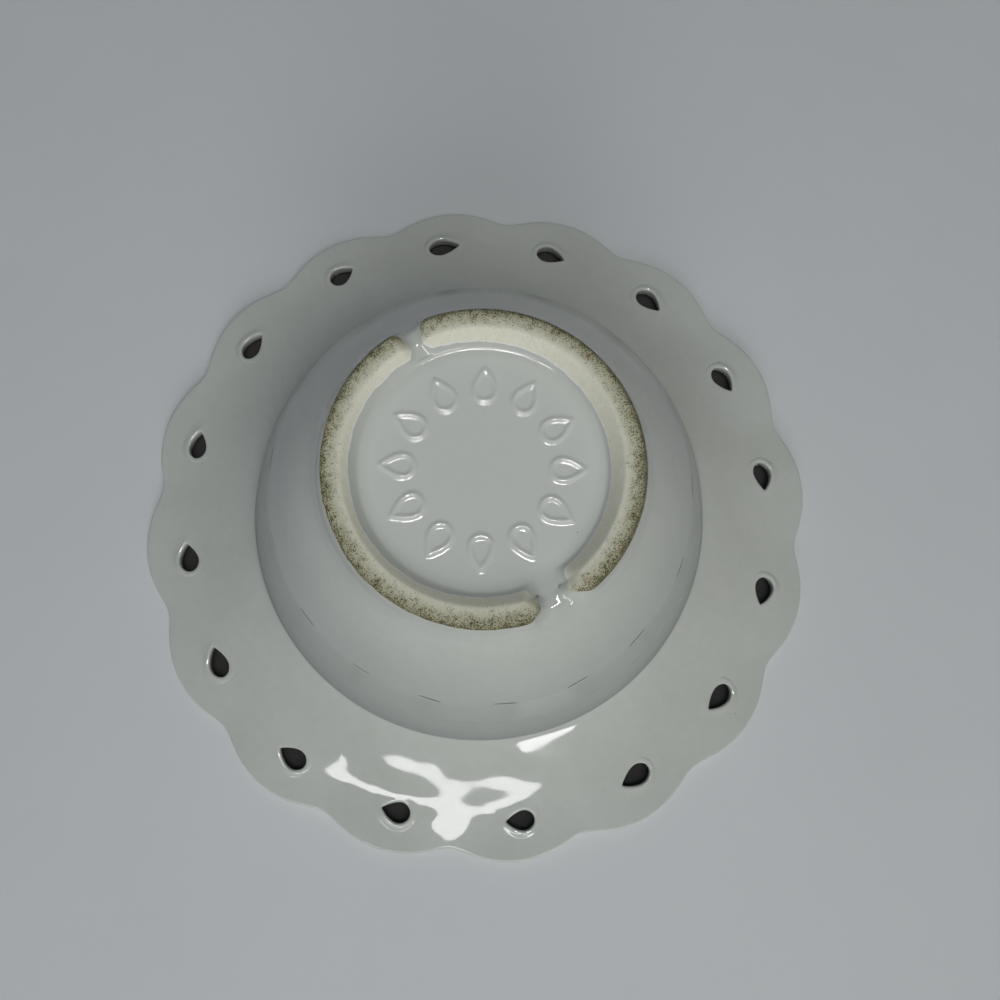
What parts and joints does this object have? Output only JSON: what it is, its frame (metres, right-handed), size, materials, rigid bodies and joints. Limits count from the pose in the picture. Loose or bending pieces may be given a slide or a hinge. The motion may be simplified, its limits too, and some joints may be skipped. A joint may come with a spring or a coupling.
{
  "type": "reticulated bowl",
  "caption": "Glazed earthenware bowl with a flaring, scalloped rim pierced by teardrop holes, a conical well and a split foot ring, lying rim down.",
  "frame": {"origin": "on the bowl's axis, in the plane of the lip that the bowl lies on in the picture", "axes": "+Z along the bowl's axis from the rim to the foot, so the part is stored upside down as pictured; +X through the wide drain gap of the foot; turn it half round about X to set it upright on its foot"},
  "size_m": [0.152, 0.152, 0.058],
  "materials": {
    "glaze": "glossy cool white glaze over pale earthenware",
    "biscuit": "bare cream clay, dull and soiled on the tread"
  },
  "bodies": {
    "root": {"base_dish": "glaze", "bowl_wall": "glaze", "pierced_rim": "glaze", "foot_arc_a": "biscuit", "foot_arc_b": "biscuit"}
  },
  "joints": []
}
